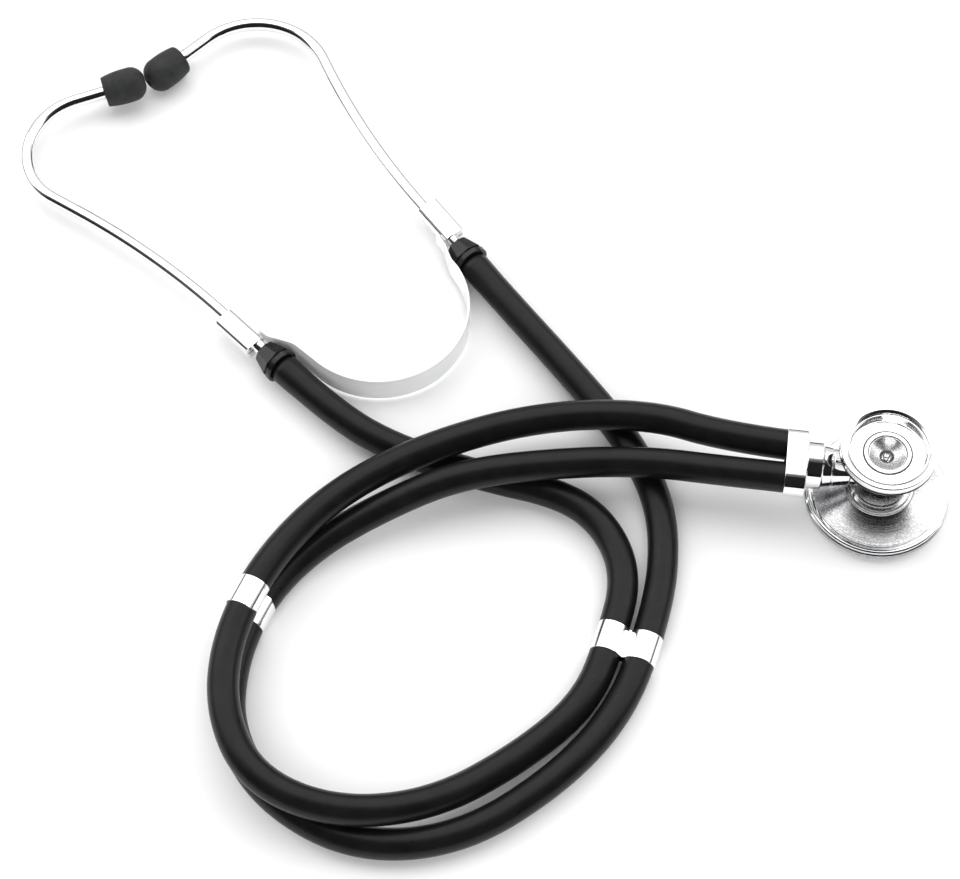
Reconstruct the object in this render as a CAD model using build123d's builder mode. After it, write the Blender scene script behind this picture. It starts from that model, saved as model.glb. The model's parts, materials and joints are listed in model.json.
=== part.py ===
from build123d import *
import math
import os

os.makedirs("parts", exist_ok=True)

# A double-tube, dual-head stethoscope lying on a table, in millimetres. The origin is the
# centre of the large head's face, on the table. +Z is up, and +X runs along the stem from
# the hose ends to the chestpiece.

# Chestpiece: radii and heights of the two heads on their drum, all about the Z axis
LARGE_RADIUS = 23.5          # large head, over its screw ring
LARGE_RING_TOP = 4.4
SMALL_RADIUS = 15.5          # small head, over its screw ring
SMALL_TOP = 34.5
DRUM_RADIUS = 9.5
DRUM_BOTTOM = 10.6
DRUM_TOP = 27.4
SOUND_HOLE = 1.8             # radius of the channel from each head to the valve

# Stem: all about an axis along X at this height
STEM_Z = 18.5
SPINDLE_RADIUS = 4.0
SPINDLE_FIT = 0.05           # radial running clearance of the spindle in the drum
SPINDLE_END = 5.9
SEAT_X = -10.3               # flat seat on the drum that the stem's cone faces
SEAT_GAP = 0.3
STEM_BASE = -24.8            # right end of the collar
COLLAR_END = -31.5           # left end of the collar, where the hoses go in
HOSE_STOP = -26.8            # where the hoses end inside the collar
CLIP_X = -7.5                # ring that holds the spindle in the drum
DETENT_X = 3.0               # ball that clicks into the spindle

# Hoses
HOSE_RADIUS = 5.0
HOSE_BORE = 2.2
HOSE_SPREAD = 6.0            # each hose's distance from the stem axis
LAY = 5.2                    # height of a hose's axis where it lies on the table

# Headset: a flat frame parallel to the table, with its own axis towards the ear tips
HEADSET_ORIGIN = (-148.7, 27.2)
HEADSET_HEADING = 137.7
TUBE_Z = 6.4
TUBE_RADIUS = 2.38
TUBE_BORE = 1.7
TUBE_FIT = 0.05              # radial running clearance of the ear tubes in their sleeves
BOW_RADIUS = 30.3            # round end of the leaf spring
SPRING_THICK = 0.8
SPRING_TALL = 11.0
SPRING_LOW = 0.9
SPRING_OFFSET = 3.95         # the spring's mid-plane beside each ear tube's axis

# Each arm: side (+1 left, -1 right), adapter mouth in the headset's own frame, and the
# ear tube's bends, which were set by hand and differ a little from side to side
ARMS = {
    "left": {
        "side": 1, "mouth": (43.8, 39.2), "leg": 11.5, "flare": 12.9, "straight": 12.0,
        "hook_radius": 22.6, "hook": 128.9, "end": 11.0, "roll": 3.4,
    },
    "right": {
        "side": -1, "mouth": (33.8, -37.6), "leg": 2.0, "flare": 13.7, "straight": 2.4,
        "hook_radius": 26.6, "hook": 110.9, "end": 12.1, "roll": 0.0,
    },
}
ARM_SPLAY = 4.0              # each arm's angle from the headset axis
SLEEVE_START = 3.0           # bracket sleeve along each arm
SLEEVE_END = 19.0
TIP_LENGTH = 15.0
TIP_RADIUS = 6.2

# Hose routes, set by hand: ear tube first, collar last
FAR_ROUTE = [
    (-200.1, 21.9, 6.4), (-184.7, 9.7, 6.2), (-163, -2.5, 5.3), (-130, -10.3, LAY),
    (-101, -13.8, LAY), (-86, -24.5, LAY), (-78.3, -41.5, LAY), (-81, -62.5, LAY),
    (-86.7, -86, LAY), (-104.5, -106.5, LAY), (-129.7, -127.6, 9.5), (-158.9, -136.3, 15.4),
    (-185.3, -128.3, 15.8), (-198.5, -107, 15.6), (-200.5, -82, 15.6), (-192.7, -54.5, 15.7),
    (-175.2, -28.3, 15.8), (-148, -7.5, 15.6), (-113, 8, 15.6), (-77, 12.5, 15.8),
    (-51, HOSE_SPREAD, STEM_Z), (HOSE_STOP, HOSE_SPREAD, STEM_Z),
]
NEAR_ROUTE = [
    (-142.1, 70.9, 6.4), (-127, 55.3, 6.2), (-105, 33.5, 5.3), (-85, 12, LAY),
    (-71, -10, LAY), (-66.5, -34, LAY), (-69, -60, LAY), (-76, -88, LAY),
    (-92.5, -112.5, LAY), (-120, -136, LAY), (-152, -142.4, LAY), (-181, -130, LAY),
    (-197, -109, LAY), (-199, -84, LAY), (-193, -61.5, LAY), (-180, -42.4, 5.4),
    (-159.6, -27.8, 9.6), (-135.8, -16.2, 15.8), (-104, -8, 15.8), (-75, -4, 15.8),
    (-51, -HOSE_SPREAD, STEM_Z), (HOSE_STOP, -HOSE_SPREAD, STEM_Z),
]

# Loop clips: centres of their two bands, and the hoses' heading there
LOOP_CLIPS = {
    "right": {"bands": ((-81.3, -62.6, LAY), (-70.4, -64.8, LAY)), "heading": -101},
    "left": {"bands": ((-195.7, -65.4, 15.66), (-193.8, -65.9, LAY)), "heading": 71},
}
BAND_OUTER = 5.2
BAND_INNER = 4.6
BAND_WIDTH = 10.0


def write(builder, name):
    """Label a finished piece and write it as parts/name.step."""
    builder.part.label = name
    export_step(builder.part, f"parts/{name}.step")
    print(name, round(builder.part.volume, 1))


def heading_vector(degrees):
    """Unit vector in the table's plane."""
    return Vector(math.cos(math.radians(degrees)), math.sin(math.radians(degrees)), 0)


def profile(points, plane=Plane.XZ, axis=Axis.Z, mode=Mode.ADD):
    """Turn a closed outline of (radius, height) points into a round solid."""
    with BuildSketch(plane) as outline:
        with BuildLine():
            Polyline(*points, close=True)
        make_face()
    revolve(outline.sketch, axis=axis, mode=mode)


# ---------------------------------------------------------------- large head

with BuildPart() as large_retaining_ring:
    profile([
        (18.6, 0), (22.0, 0), (LARGE_RADIUS, 2.4), (LARGE_RADIUS, 4.0), (23.1, LARGE_RING_TOP),
        (20.6, LARGE_RING_TOP), (20.6, 0.7), (18.6, 0.7),
    ])
write(large_retaining_ring, "large_retaining_ring")

with BuildPart() as large_diaphragm:
    profile([
        (0, 0), (18.1, 0), (18.4, 0.75), (20.3, 0.75), (20.3, 1.15), (18.0, 1.15),
        (17.7, 0.4), (0, 0.4),
    ])
write(large_diaphragm, "large_diaphragm")

with BuildPart() as large_head_body:
    with BuildSketch(Plane.XZ):
        with BuildLine():
            spigot = Polyline(
                (SOUND_HOLE, 3.8), (18.6, 1.8), (19.0, 1.2), (20.5, 1.2), (20.5, 4.7),
                (22.8, 4.7), (23.3, 5.1),
            )
            bead = ThreePointArc(spigot @ 1, (22.75, 5.85), (21.9, 5.6))
            groove = Polyline(bead @ 1, (21.8, 5.2), (21.1, 5.2), (21.0, 5.7))
            dish = ThreePointArc(groove @ 1, (15.6, 7.1), (11.5, 9.2))
            Polyline(
                dish @ 1, (11.3, 9.7), (10.5, 9.8), (10.3, DRUM_BOTTOM),
                (SOUND_HOLE, DRUM_BOTTOM), (SOUND_HOLE, 3.8),
            )
        make_face()
    revolve(axis=Axis.Z)
write(large_head_body, "large_head_body")

# ---------------------------------------------------------------- drum

stem_axis = Axis((0, 0, STEM_Z), (1, 0, 0))
stem_profile = Plane(origin=(0, 0, STEM_Z), x_dir=(1, 0, 0), z_dir=(0, -1, 0))


def across_stem(x):
    """Plane across the stem at x, with its own x along Y and its own y upwards."""
    return Plane(origin=(x, 0, STEM_Z), x_dir=(0, 1, 0), z_dir=(1, 0, 0))


with BuildPart() as drum_body:
    profile([
        (0, DRUM_BOTTOM), (DRUM_RADIUS, DRUM_BOTTOM), (DRUM_RADIUS, DRUM_TOP), (0, DRUM_TOP),
    ])
    with BuildSketch(across_stem(SEAT_X)):
        Circle(5.5)
    extrude(amount=-SEAT_X)
    with BuildSketch(across_stem(SEAT_X - 1)):
        Circle(SPINDLE_RADIUS + SPINDLE_FIT)
    extrude(amount=SPINDLE_END + 0.4 - SEAT_X + 1, mode=Mode.SUBTRACT)
    with BuildSketch(across_stem(CLIP_X - 0.6)):
        Circle(4.8)
    extrude(amount=1.2, mode=Mode.SUBTRACT)
    with BuildSketch(Plane.XY.offset(DRUM_BOTTOM - 1)):
        Circle(SOUND_HOLE)
    extrude(amount=DRUM_TOP - DRUM_BOTTOM + 2, mode=Mode.SUBTRACT)
    detent_hole = Plane(origin=(DETENT_X, 0, STEM_Z), x_dir=(1, 0, 0), z_dir=(0, 1, 0))
    for radius, start in ((1.25, 0), (1.55, 7.6)):
        with BuildSketch(detent_hole.offset(start)):
            Circle(radius)
        extrude(amount=DRUM_RADIUS, mode=Mode.SUBTRACT)
write(drum_body, "drum_body")

with BuildPart() as detent_ball:
    with Locations((DETENT_X, 4.75, STEM_Z)):
        Sphere(1.15)
write(detent_ball, "detent_ball")

with BuildPart() as detent_spring:
    with BuildLine():
        coil = Helix(pitch=0.6, height=1.2, radius=0.8, center=(DETENT_X, 6.15, STEM_Z),
                     direction=(0, 1, 0))
    with BuildSketch(Plane(origin=coil @ 0, z_dir=coil % 0)):
        Circle(0.15)
    sweep(path=coil, is_frenet=True)
write(detent_spring, "detent_spring")

with BuildPart() as detent_screw:
    with BuildSketch(detent_hole.offset(7.65)):
        Circle(1.5)
    extrude(amount=1.25)
    with BuildSketch(detent_hole.offset(8.1)):
        RegularPolygon(radius=0.8, side_count=6)
    extrude(amount=1.5, mode=Mode.SUBTRACT)
write(detent_screw, "detent_screw")

# ---------------------------------------------------------------- small head

with BuildPart() as small_head_body:
    with BuildSketch(Plane.XZ):
        with BuildLine():
            outside = Polyline(
                (SOUND_HOLE, DRUM_TOP), (9.3, DRUM_TOP), (10.5, 27.9), (14.9, 29.6),
                (14.9, 30.2), (13.3, 30.2), (13.3, 33.1), (12.4, 33.1), (12.4, 31.6),
            )
            cove = RadiusArc(outside @ 1, (11.5, 30.7), -0.9)
            Polyline(
                cove @ 1, (7.7, 30.7), (7.5, 31.0), (6.1, 31.0), (5.9, 30.6), (2.4, 28.4),
                (SOUND_HOLE, 28.3), (SOUND_HOLE, DRUM_TOP),
            )
        make_face()
    revolve(axis=Axis.Z)
write(small_head_body, "small_head_body")

with BuildPart() as small_diaphragm:
    profile([(0, 33.15), (13.3, 33.15), (13.3, 33.55), (0, 33.55)])
write(small_diaphragm, "small_diaphragm")

with BuildPart() as small_retaining_ring:
    profile([
        (13.4, 30.3), (15.1, 30.3), (SMALL_RADIUS, 30.8), (SMALL_RADIUS, 34.0),
        (15.2, SMALL_TOP), (13.9, SMALL_TOP), (12.9, 33.95), (12.9, 33.6), (13.4, 33.6),
    ])
write(small_retaining_ring, "small_retaining_ring")

# ---------------------------------------------------------------- stem and hose collar

with BuildPart() as valve_stem:
    profile([
        (STEM_BASE, 0), (STEM_BASE, 8.0), (-19.9, 8.0), (-19.6, 7.7), (-19.6, 7.25),
        (SEAT_X - SEAT_GAP, 5.5), (SEAT_X - SEAT_GAP, SPINDLE_RADIUS),
        (CLIP_X - 0.5, SPINDLE_RADIUS), (CLIP_X - 0.5, 3.3), (CLIP_X + 0.5, 3.3),
        (CLIP_X + 0.5, SPINDLE_RADIUS), (DETENT_X - 1.35, SPINDLE_RADIUS),
        (DETENT_X - 1.35, 3.35), (DETENT_X + 1.35, 3.35), (DETENT_X + 1.35, SPINDLE_RADIUS),
        (SPINDLE_END - 0.3, SPINDLE_RADIUS), (SPINDLE_END, 3.7), (SPINDLE_END, 0),
    ], plane=stem_profile, axis=stem_axis)
    with BuildSketch(across_stem(HOSE_STOP + 0.4)):
        SlotOverall(22.2, 10.2)
    extrude(amount=STEM_BASE - HOSE_STOP - 0.4)
    # sound channel: one port facing down, the bore, and a branch to each hose
    with BuildSketch(across_stem(-20.2)):
        Circle(1.6)
    extrude(amount=21.6, mode=Mode.SUBTRACT)
    with BuildSketch(Plane.XY.offset(STEM_Z)):
        Circle(1.4)
    extrude(amount=-SPINDLE_RADIUS - 1, mode=Mode.SUBTRACT)
    for side in (1, -1):
        branch = Plane(origin=(HOSE_STOP - 0.8, side * 6.6, STEM_Z), z_dir=(7, -side * 6, 0))
        with BuildSketch(branch):
            Circle(1.2)
        extrude(amount=9.8, mode=Mode.SUBTRACT)
write(valve_stem, "valve_stem")

with BuildPart() as spindle_clip:
    with BuildSketch(across_stem(CLIP_X - 0.4)):
        Circle(4.55)
        Circle(3.35, mode=Mode.SUBTRACT)
        with Locations((0, 4)):
            Rectangle(3.2, 4, mode=Mode.SUBTRACT)
    extrude(amount=0.8)
write(spindle_clip, "spindle_clip")

with BuildPart() as hose_collar:
    with BuildSketch(across_stem(COLLAR_END)):
        SlotOverall(24.0, 12.0)
        SlotOverall(22.4, 10.4, mode=Mode.SUBTRACT)
    extrude(amount=STEM_BASE - COLLAR_END)
    chamfer(hose_collar.edges().group_by(Axis.X)[0], length=0.25)
write(hose_collar, "hose_collar")

NIPPLE_START = HOSE_STOP + 0.4
with BuildPart() as hose_nipples:
    for side in (1, -1):
        nipple_origin = (0, side * HOSE_SPREAD, STEM_Z)
        profile([
            (NIPPLE_START, 1.3), (NIPPLE_START, 1.9), (-31.0, 1.9), (-31.0, 2.15),
            (-34.0, 1.9), (-34.0, 2.15), (-37.0, 1.9), (-37.0, 2.15), (-38.5, 1.7), (-38.5, 1.3),
        ], plane=Plane(origin=nipple_origin, x_dir=(1, 0, 0), z_dir=(0, -1, 0)),
            axis=Axis(nipple_origin, (1, 0, 0)))
write(hose_nipples, "hose_nipples")

# ---------------------------------------------------------------- hoses


def corner_radii(route):
    """The largest arc that each corner's two runs allow: 0.45 of the shorter run."""
    points = [Vector(*point) for point in route]
    radii = []
    for before, corner, after in zip(points, points[1:], points[2:]):
        half_turn = math.radians((corner - before).get_angle(after - corner)) / 2
        shorter = min((corner - before).length, (after - corner).length)
        radii.append(0.45 * shorter / math.tan(half_turn))
    return radii


for hose_name, route in (("far_hose", FAR_ROUTE), ("near_hose", NEAR_ROUTE)):
    radii = corner_radii(route)
    with BuildPart() as hose:
        with BuildLine():
            hose_line = FilletPolyline(*route, radius=radii)
        with BuildSketch(Plane(origin=hose_line @ 0, z_dir=hose_line % 0)):
            Circle(HOSE_RADIUS)
            Circle(HOSE_BORE, mode=Mode.SUBTRACT)
        sweep(path=hose_line)
    section = math.pi * (HOSE_RADIUS**2 - HOSE_BORE**2)
    print(hose_name, "length", round(hose_line.length, 1), "radii", [round(r) for r in radii])
    print("volume over section times length", round(hose.part.volume / section / hose_line.length, 4))
    write(hose, hose_name)

for clip_name, clip in LOOP_CLIPS.items():
    first, second = (Vector(*centre) for centre in clip["bands"])
    along = heading_vector(clip["heading"])
    between = second - first
    between = between - along * between.dot(along)
    half_pitch = between.length / 2
    middle = Plane(origin=(first + second) / 2, x_dir=between, z_dir=along)
    with BuildPart() as loop_clip:
        with BuildSketch(middle.offset(-BAND_WIDTH / 2)):
            with Locations((-half_pitch, 0), (half_pitch, 0)):
                Circle(BAND_OUTER)
            Rectangle(3.4, 3.4)
            with Locations((-half_pitch, 0), (half_pitch, 0)):
                Circle(BAND_INNER, mode=Mode.SUBTRACT)
        extrude(amount=BAND_WIDTH)
    write(loop_clip, f"{clip_name}_loop_clip")

# ---------------------------------------------------------------- headset frame

headset = Plane(
    origin=(*HEADSET_ORIGIN, 0), x_dir=heading_vector(HEADSET_HEADING), z_dir=(0, 0, 1)
)


def arm_plane(arm, z=TUBE_Z):
    """Plane of one arm: x along its ear tube from the adapter's mouth, y to the left."""
    heading = HEADSET_HEADING + arm["side"] * ARM_SPLAY
    mouth = headset.from_local_coords((*arm["mouth"], z))
    return Plane(origin=mouth, x_dir=heading_vector(heading), z_dir=(0, 0, 1))


def spring_leg(arm, bow_end):
    """Corners of the spring from its round end to beside the ear tube."""
    side = arm["side"]
    lean = math.radians(7)
    first = bow_end + (headset.x_dir * math.cos(lean) + headset.y_dir * side * math.sin(lean)) * arm["leg"]
    beside = arm_plane(arm, 0)
    return [
        bow_end, first,
        beside.from_local_coords((2.5, -side * SPRING_OFFSET, 0)),
        beside.from_local_coords((9.5, -side * SPRING_OFFSET, 0)),
    ]


with BuildPart() as leaf_spring:
    with BuildSketch(Plane.XY.offset(SPRING_LOW)):
        with BuildLine():
            with BuildLine(headset, mode=Mode.PRIVATE):
                bow = CenterArc((BOW_RADIUS, 0), BOW_RADIUS, 97, 166)
            add(bow)
            FilletPolyline(*spring_leg(ARMS["left"], bow @ 0), radius=[12, 10])
            FilletPolyline(*spring_leg(ARMS["right"], bow @ 1), radius=[10, 10])
        trace(line_width=SPRING_THICK)
    extrude(amount=SPRING_TALL)
    # the ends narrow towards the brackets, above and below
    for arm in ARMS.values():
        beside = arm_plane(arm)
        end_side = Plane(origin=beside.origin, x_dir=beside.x_dir, z_dir=-beside.y_dir)
        for up in (1, -1):
            with BuildSketch(end_side):
                with BuildLine():
                    Polyline(
                        (-9, up * 6), (-9, up * 5.5), (3, up * 3.2), (12, up * 3.2),
                        (12, up * 6), close=True,
                    )
                make_face()
            extrude(amount=8, both=True, mode=Mode.SUBTRACT)
write(leaf_spring, "leaf_spring")

# ---------------------------------------------------------------- arms: brackets and adapters

for arm_name, arm in ARMS.items():
    side = arm["side"]
    flat = arm_plane(arm)
    upright = Plane(origin=flat.origin, x_dir=flat.x_dir, z_dir=-flat.y_dir)
    arm_axis = Axis(flat.origin, flat.x_dir)
    across = Plane(origin=flat.origin, x_dir=flat.y_dir, z_dir=flat.x_dir)

    with BuildPart() as bracket:
        with BuildSketch(across.offset(SLEEVE_START)):
            Circle(3.25)
            with Locations((side * 2.6, 0)):
                RectangleRounded(5.4, 6.4, 1.9)
        extrude(amount=SLEEVE_END - SLEEVE_START)
        with BuildSketch(flat.offset(-4)):
            with Locations(((SLEEVE_START + SLEEVE_END) / 2, side * 1.0)):
                RectangleRounded(SLEEVE_END - SLEEVE_START, 8.6, 1.6)
        extrude(amount=8, mode=Mode.INTERSECT)
        # rolled from sheet: the tube's bore, and the slit between the two lips
        with BuildSketch(across.offset(SLEEVE_START - 1)):
            Circle(TUBE_RADIUS + TUBE_FIT)
            with Locations((side * 3.4, 0)):
                Rectangle(2.6, 0.5)
        extrude(amount=SLEEVE_END - SLEEVE_START + 2, mode=Mode.SUBTRACT)
    write(bracket, f"{arm_name}_bracket")

    with BuildPart() as adapter:
        with BuildSketch(across.offset(-6.3)):
            RegularPolygon(radius=6.2, side_count=8)
        with BuildSketch(across):
            RegularPolygon(radius=4.1, side_count=8)
        loft()
        profile([
            (-21, 0), (-21, 1.5), (-20.2, 1.7), (-9, 1.7), (-9, 5.9), (-8.7, 6.2), (-7.1, 6.2),
            (-6.8, 5.9), (-6.8, 5.4), (-6.2, 5.4), (-6.2, 0),
        ], plane=upright, axis=arm_axis)
        with BuildSketch(across.offset(-22)):
            Circle(1.1)
        extrude(amount=22, mode=Mode.SUBTRACT)
        with BuildSketch(across.offset(-5)):
            Circle(TUBE_RADIUS + TUBE_FIT)
        extrude(amount=6, mode=Mode.SUBTRACT)
    write(adapter, f"{arm_name}_adapter")

# ---------------------------------------------------------------- ear tubes and tips

for arm_name, arm in ARMS.items():
    side = arm["side"]
    flat = arm_plane(arm)
    roll = math.radians(arm["roll"])
    rolled = Plane(
        origin=flat.origin, x_dir=flat.x_dir,
        z_dir=flat.z_dir * math.cos(roll) + flat.y_dir * (side * math.sin(roll)),
    )
    with BuildPart() as ear_tube:
        with BuildLine(rolled) as tube_line:
            inlet = Line((-4.8, 0), (20, 0))
            flare = JernArc(inlet @ 1, inlet % 1, 300, side * arm["flare"])
            reach = Line(flare @ 1, flare @ 1 + (flare % 1) * arm["straight"])
            hook = JernArc(reach @ 1, reach % 1, arm["hook_radius"], -side * arm["hook"])
            outlet = Line(hook @ 1, hook @ 1 + (hook % 1) * (arm["end"] + 8))
        with BuildSketch(Plane(origin=inlet @ 0, z_dir=inlet % 0)):
            Circle(TUBE_RADIUS)
            Circle(TUBE_BORE, mode=Mode.SUBTRACT)
        sweep(path=tube_line.wire())
    write(ear_tube, f"{arm_name}_ear_tube")
    print("ear tube length", round(tube_line.wire().length, 1))

    tip_direction = outlet % 1
    tip_base = outlet @ 1 - tip_direction * 8
    tip_axis = Axis(tip_base, tip_direction)
    tip_profile = Plane(origin=tip_base, x_dir=tip_direction, z_dir=tip_direction.cross(rolled.z_dir))
    with BuildPart() as ear_tip:
        with BuildSketch(tip_profile):
            with BuildLine():
                inside = Polyline(
                    (TIP_LENGTH, 1.4), (8.4, 1.4), (8.4, TUBE_RADIUS + 0.07),
                    (7, TUBE_RADIUS + 0.07), (7, 3.35), (2, 3.35), (2, TUBE_RADIUS + 0.07),
                    (0, TUBE_RADIUS + 0.07), (0, 4.9),
                )
                lip = RadiusArc(inside @ 1, (0.5, 5.4), 0.5)
                barrel = ThreePointArc(lip @ 1, (5.5, 6.1), (9.6, TIP_RADIUS - 0.1))
                shoulder = ThreePointArc(barrel @ 1, (13.3, 4.9), (TIP_LENGTH - 0.2, 2.7))
                Polyline(shoulder @ 1, (TIP_LENGTH, 2.2), (TIP_LENGTH, 1.4))
            make_face()
        revolve(axis=tip_axis)
    write(ear_tip, f"{arm_name}_ear_tip")

    with BuildPart() as ear_tip_bush:
        profile([(2.1, 2.4), (2.1, 3.3), (6.9, 3.3), (6.9, 2.4)], plane=tip_profile, axis=tip_axis)
    write(ear_tip_bush, f"{arm_name}_ear_tip_bush")
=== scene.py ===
"""A double-tube, dual-head stethoscope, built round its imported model."""
import json
import math

import bmesh
import bpy
from mathutils import Matrix, Vector


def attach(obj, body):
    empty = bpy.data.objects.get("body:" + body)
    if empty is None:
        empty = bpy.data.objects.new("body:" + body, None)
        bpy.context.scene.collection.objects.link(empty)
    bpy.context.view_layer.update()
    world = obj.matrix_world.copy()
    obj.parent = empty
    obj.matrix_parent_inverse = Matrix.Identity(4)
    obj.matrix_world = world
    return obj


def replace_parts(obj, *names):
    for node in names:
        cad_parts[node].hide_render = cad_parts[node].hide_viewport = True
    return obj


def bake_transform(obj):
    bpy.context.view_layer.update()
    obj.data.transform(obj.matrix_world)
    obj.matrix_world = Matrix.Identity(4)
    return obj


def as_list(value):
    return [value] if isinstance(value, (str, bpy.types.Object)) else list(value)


bl_info = {
    "name": "Double-tube stethoscope",
    "version": (1, 0, 0),
    "blender": (4, 5, 0),
    "location": "View3D > Sidebar > Stethoscope",
    "description": "Builds a stethoscope laid out on a table, piece by piece",
    "category": "Add Mesh",
}

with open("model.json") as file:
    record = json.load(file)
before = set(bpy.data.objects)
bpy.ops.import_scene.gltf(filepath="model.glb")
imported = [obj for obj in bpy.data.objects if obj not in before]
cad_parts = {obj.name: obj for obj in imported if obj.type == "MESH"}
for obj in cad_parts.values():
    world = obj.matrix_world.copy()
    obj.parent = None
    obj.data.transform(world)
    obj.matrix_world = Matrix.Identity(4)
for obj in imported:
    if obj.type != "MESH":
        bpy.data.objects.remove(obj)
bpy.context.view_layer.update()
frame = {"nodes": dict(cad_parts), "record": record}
JOINTS = {joint["name"]: joint for joint in frame["record"]["behaviour"]["joints"]}
MM = 0.001

# Hoses: each runs from its ear tube adapter to the collar (metres)
FAR_ROUTE = [
    (-0.2001, 0.0219, 0.0064), (-0.1847, 0.0097, 0.0062), (-0.163, -0.0025, 0.0053),
    (-0.13, -0.0103, 0.0052), (-0.101, -0.0138, 0.0052), (-0.086, -0.0245, 0.0052),
    (-0.0783, -0.0415, 0.0052), (-0.081, -0.0625, 0.0052), (-0.0867, -0.086, 0.0052),
    (-0.1045, -0.1065, 0.0052), (-0.1297, -0.1276, 0.0095), (-0.1589, -0.1363, 0.0154),
    (-0.1853, -0.1283, 0.0158), (-0.1985, -0.107, 0.0156), (-0.2005, -0.082, 0.0156),
    (-0.1927, -0.0545, 0.0157), (-0.1752, -0.0283, 0.0158), (-0.148, -0.0075, 0.0156),
    (-0.113, 0.0085, 0.0156), (-0.077, 0.0138, 0.0158), (-0.051, 0.0066, 0.0185),
    (-0.0268, 0.006, 0.0185),
]
NEAR_ROUTE = [
    (-0.1421, 0.0709, 0.0064), (-0.127, 0.0553, 0.0062), (-0.105, 0.0335, 0.0053),
    (-0.085, 0.012, 0.0052), (-0.071, -0.01, 0.0052), (-0.0665, -0.034, 0.0052),
    (-0.069, -0.06, 0.0052), (-0.076, -0.088, 0.0052), (-0.0925, -0.1125, 0.0052),
    (-0.12, -0.136, 0.0052), (-0.152, -0.1424, 0.0052), (-0.181, -0.13, 0.0052),
    (-0.197, -0.109, 0.0052), (-0.199, -0.084, 0.0052), (-0.193, -0.0615, 0.0052),
    (-0.18, -0.0424, 0.0054), (-0.1596, -0.0278, 0.0096), (-0.1358, -0.0162, 0.0158),
    (-0.104, -0.008, 0.0158), (-0.075, -0.004, 0.0158), (-0.051, -0.006, 0.0185),
    (-0.0268, -0.006, 0.0185),
]
HOSE_BORE_RADIUS = 0.0022
# How far along each hose from its adapter a point is picked
HOSE_GIVE = 0.042
# How far each hose is swollen by its adapter's barb and by the collar's
ADAPTER_BARB_REACH, COLLAR_BARB_REACH = 0.013, 0.007

# Loop clips: the far hose's band and the near hose's band of each
LOOP_CLIPS = {
    "right_loop_clip": ((-0.0816, -0.0639, 0.0052), (-0.0707, -0.0661, 0.0052)),
    "left_loop_clip": ((-0.1963, -0.0674, 0.01566), (-0.1944, -0.0679, 0.0052)),
}
CLIP_HALF_WIDTH = 0.005

# Headset: where its frame starts and which way it points
HEADSET_ORIGIN = Vector((-0.1487, 0.0272, 0))
HEADSET_HEADING = math.radians(137.7)
BOW_RADIUS = 0.0303
SPRING_OFFSET = 0.00395
SPRING_MIDDLE = 0.0064

# Each arm: side, spring leg, then its ear tube's bends (mm and degrees)
ARMS = {
    "left": dict(side=1, leg=11.5, flare=12.9, straight=12.0, hook_radius=22.6, hook=128.9,
                 end=11.0, roll=3.4),
    "right": dict(side=-1, leg=2.0, flare=13.7, straight=2.4, hook_radius=26.6, hook=110.9,
                  end=12.1, roll=0.0),
}
STEM_AXIS_HEIGHT = 0.0185

# How far a tube's line starts inside its bracket, and runs on inside its tip (mm)
TUBE_INSIDE_BRACKET = 4.8
TUBE_INSIDE_TIP = 8

CAMERA_AIM = Vector((-0.1317, 0.0062, 0))
CAMERA_DISTANCE = 0.85
CAMERA_LENS = 95.6
CAMERA_HEADING = math.radians(7)
CAMERA_HEIGHT = math.radians(60.7)


# ------------------------------------------------------------------ settings


class StethoscopeSizes(bpy.types.PropertyGroup):
    """Sizes of the swept and turned pieces."""

    hose_diameter: bpy.props.FloatProperty(
        name="Hose diameter", description="Outside diameter of each hose",
        default=0.010, min=0.006, max=0.014, unit="LENGTH")
    barb_swell: bpy.props.FloatProperty(
        name="Barb swell", description="How far each hose swells over the fitting inside its end",
        default=0.00022, min=0, max=0.001, unit="LENGTH")
    ear_tube_diameter: bpy.props.FloatProperty(
        name="Ear tube diameter", description="Outside diameter of the steel ear tubes",
        default=0.00476, min=0.003, max=0.006, unit="LENGTH")
    spring_thickness: bpy.props.FloatProperty(
        name="Spring thickness", description="Thickness of the leaf spring's strip",
        default=0.0008, min=0.0004, max=0.0015, unit="LENGTH")
    knurl_depth: bpy.props.FloatProperty(
        name="Knurl depth", description="Depth of the teeth on the large screw ring",
        default=0.00016, min=0, max=0.0005, unit="LENGTH")
    knurl_teeth: bpy.props.IntProperty(
        name="Knurl teeth", description="Number of teeth round the large screw ring",
        default=150, min=24, max=400)


class StethoscopeFinishes(bpy.types.PropertyGroup):
    """Colours of the pieces."""

    hose_colour: bpy.props.FloatVectorProperty(
        name="Hose colour", description="Rubber of the two hoses", subtype="COLOR", size=4,
        default=(0.006, 0.0062, 0.0062, 1))
    tip_colour: bpy.props.FloatVectorProperty(
        name="Ear tip colour", description="Soft rubber of the ear tips", subtype="COLOR", size=4,
        default=(0.026, 0.0265, 0.027, 1))
    adapter_colour: bpy.props.FloatVectorProperty(
        name="Adapter colour", description="Moulded plastic between ear tube and hose",
        subtype="COLOR", size=4, default=(0.006, 0.006, 0.0065, 1))
    chrome_colour: bpy.props.FloatVectorProperty(
        name="Chrome colour", description="Plating of the metal pieces", subtype="COLOR", size=4,
        default=(0.9, 0.905, 0.91, 1))
    floor_colour: bpy.props.FloatVectorProperty(
        name="Floor colour", description="Pale floor under the stethoscope", subtype="COLOR",
        size=4, default=(0.92, 0.92, 0.92, 1))


# ------------------------------------------------------------------ finishes


def new_finish(name, **values):
    """A material with its constant values on the shader itself."""
    if name in bpy.data.materials:
        raise RuntimeError(f"a material is already called {name}")
    finish = bpy.data.materials.new(name)
    finish.use_nodes = True
    shader = finish.node_tree.nodes["Principled BSDF"]
    for socket, value in values.items():
        shader.inputs[socket.replace("_", " ")].default_value = value
    return finish


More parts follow.
